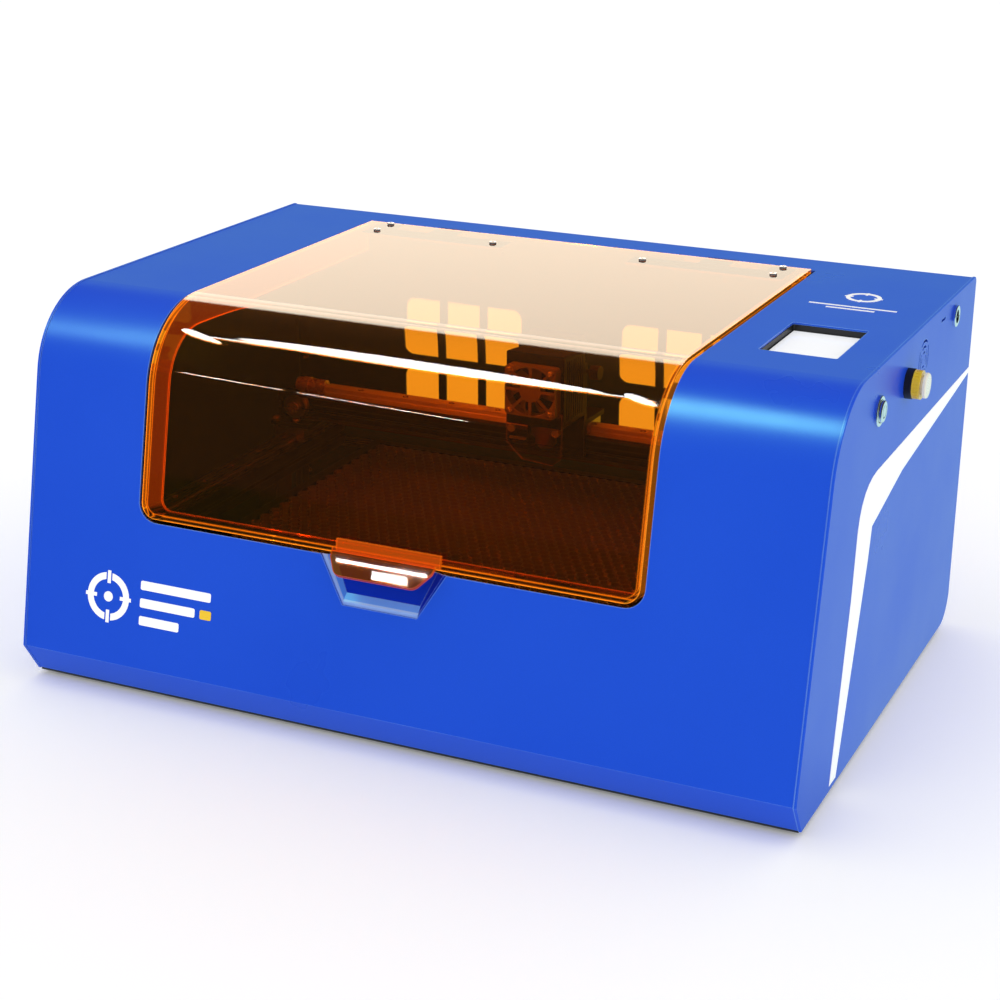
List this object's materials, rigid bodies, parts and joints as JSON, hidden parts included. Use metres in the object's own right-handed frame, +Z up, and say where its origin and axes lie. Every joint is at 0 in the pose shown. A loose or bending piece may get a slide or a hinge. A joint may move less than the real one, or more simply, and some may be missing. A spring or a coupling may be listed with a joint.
{
  "type": "desktop laser cutter",
  "caption": "Enclosed desktop laser cutter: blue sheet-metal casing with a curved front, hinged orange see-through lid, touch screen, side controls and a belt-driven gantry.",
  "frame": {"origin": "on the surface it stands on, under the middle of the whole footprint", "axes": "+X along the width to the side with the controls, +Y from the front to the rear, +Z up"},
  "size_m": [0.5845, 0.4064, 0.276],
  "materials": {
    "casing_blue": "satin powder coat",
    "dark_steel": "matt black powder coat",
    "interior_black": "matt black powder coat",
    "screw_steel": "zinc plated",
    "rubber": "matt",
    "white_print": "vinyl and screen print",
    "black_plastic": "moulded",
    "screen_panel": "lit display panel under glass",
    "polished_metal": "polished",
    "yellow_plastic": "moulded",
    "cream_plastic": "moulded",
    "circuit_board": "solder mask",
    "aluminium": "machined",
    "honeycomb": "thin foil cells",
    "black_aluminium": "black anodised",
    "rail_steel": "ground",
    "belt_rubber": "toothed belt",
    "motor_black": "satin",
    "brass_bumper": "turned",
    "amber_acrylic": "tinted laser-safe acrylic",
    "orange_acrylic": "tinted laser-safe acrylic, polished",
    "hinge_steel": "zinc plated"
  },
  "bodies": {
    "casing": {"base_pan": "dark_steel", "front_top_shell": "casing_blue", "left_side_panel": "casing_blue", "right_side_panel": "casing_blue", "rear_panel": "casing_blue", "finger_pocket": "casing_blue", "bay_wall": "interior_black", "casing_screws": "screw_steel", "rubber_feet": "rubber", "printed_marks": "white_print", "screen_bezel": "black_plastic", "touch_screen": "screen_panel", "power_button_bezel": "polished_metal", "stop_switch_base": "black_plastic", "stop_switch_collar": "yellow_plastic", "power_inlet": "polished_metal", "control_board": "circuit_board", "exhaust_fan_frame": "black_plastic", "exhaust_flange": "black_plastic", "bed_frame": "aluminium", "honeycomb_core": "honeycomb", "frame_supports": "dark_steel", "rail_beams": "black_aluminium", "y_rails": "rail_steel", "shaft_brackets": "dark_steel", "y_belts": "belt_rubber", "y_motor": "motor_black", "body_hinge_leaves": "hinge_steel", "hinge_pins": "screw_steel"},
    "lid": {"lid_cover": "orange_acrylic", "lid_handle": "orange_acrylic", "lid_hinge_leaves": "hinge_steel", "lid_screws": "screw_steel"},
    "gantry": {"x_beam": "black_aluminium", "rail_blocks": "rail_steel", "end_plates": "black_aluminium", "x_rail": "rail_steel", "travel_bumpers": "brass_bumper", "x_motor": "motor_black", "idler_axle": "screw_steel", "x_belt": "belt_rubber"},
    "head_carriage": {"carriage_block": "rail_steel", "carriage_plate": "black_aluminium"},
    "laser_head": {"laser_module": "black_aluminium", "head_fan_frame": "black_plastic", "nozzle": "aluminium", "nozzle_shield": "amber_acrylic", "shield_screws": "screw_steel"},
    "head_fan": {"head_fan_rotor": "black_plastic"},
    "focus_knob": {"focus_knob": "black_plastic"},
    "power_button": {"power_button": "polished_metal"},
    "stop_button": {"stop_button": "cream_plastic"},
    "exhaust_fan": {"exhaust_fan_rotor": "black_plastic"},
    "y_drive": {"y_shaft": "rail_steel", "y_pulleys": "aluminium", "shaft_coupling": "aluminium"},
    "y_return": {"front_shaft": "rail_steel", "front_pulleys": "aluminium"},
    "x_drive": {"x_pulley": "aluminium"},
    "x_return": {"x_idler": "aluminium"}
  },
  "joints": [
    {"name": "lid_hinge", "type": "hinge", "parent": "casing", "child": "lid", "pos_m": [-0.007, 0.166, 0.267], "axis": [-1, 0, 0], "range_deg": [0, 75]},
    {"name": "y_slide", "type": "slide", "parent": "casing", "child": "gantry", "axis": [0, -1, 0], "range_m": [-0.02, 0.18]},
    {"name": "x_slide", "type": "slide", "parent": "gantry", "child": "head_carriage", "axis": [1, 0, 0], "range_m": [-0.15, 0.105]},
    {"name": "focus_slide", "type": "slide", "parent": "head_carriage", "child": "laser_head", "axis": [0, 0, 1], "range_m": [-0.03, 0.01]},
    {"name": "focus_knob_turn", "type": "hinge", "parent": "head_carriage", "child": "focus_knob", "pos_m": [0.0252, 0.082, 0.202], "axis": [1, 0, 0], "range_deg": [-180, 180]},
    {"name": "head_fan_spin", "type": "hinge", "parent": "laser_head", "child": "head_fan", "pos_m": [-0.002, 0.035, 0.194], "axis": [0, -1, 0], "continuous": true},
    {"name": "exhaust_fan_spin", "type": "hinge", "parent": "casing", "child": "exhaust_fan", "pos_m": [0.143, 0.188, 0.145], "axis": [0, 1, 0], "continuous": true},
    {"name": "power_button_push", "type": "slide", "parent": "casing", "child": "power_button", "axis": [-1, 0, 0], "range_m": [0, 0.0015], "stiffness_N_per_m": 400},
    {"name": "stop_button_push", "type": "slide", "parent": "casing", "child": "stop_button", "axis": [-1, 0, 0], "range_m": [0, 0.0015], "stiffness_N_per_m": 500},
    {"name": "y_drive_spin", "type": "hinge", "parent": "casing", "child": "y_drive", "pos_m": [-0.007, 0.17, 0.082], "axis": [1, 0, 0], "continuous": true},
    {"name": "y_return_spin", "type": "hinge", "parent": "casing", "child": "y_return", "pos_m": [-0.007, -0.168, 0.082], "axis": [1, 0, 0], "continuous": true},
    {"name": "x_drive_spin", "type": "hinge", "parent": "gantry", "child": "x_drive", "pos_m": [0.151, 0.0915, 0.134], "axis": [0, 1, 0], "continuous": true},
    {"name": "x_return_spin", "type": "hinge", "parent": "gantry", "child": "x_return", "pos_m": [-0.232, 0.0915, 0.134], "axis": [0, 1, 0], "continuous": true}
  ],
  "couplings": [
    {"joint": "y_drive_spin", "follows": "y_slide", "rad_per_m": 114.29},
    {"joint": "y_return_spin", "follows": "y_slide", "rad_per_m": 114.29},
    {"joint": "x_drive_spin", "follows": "x_slide", "rad_per_m": 114.29},
    {"joint": "x_return_spin", "follows": "x_slide", "rad_per_m": 114.29}
  ]
}
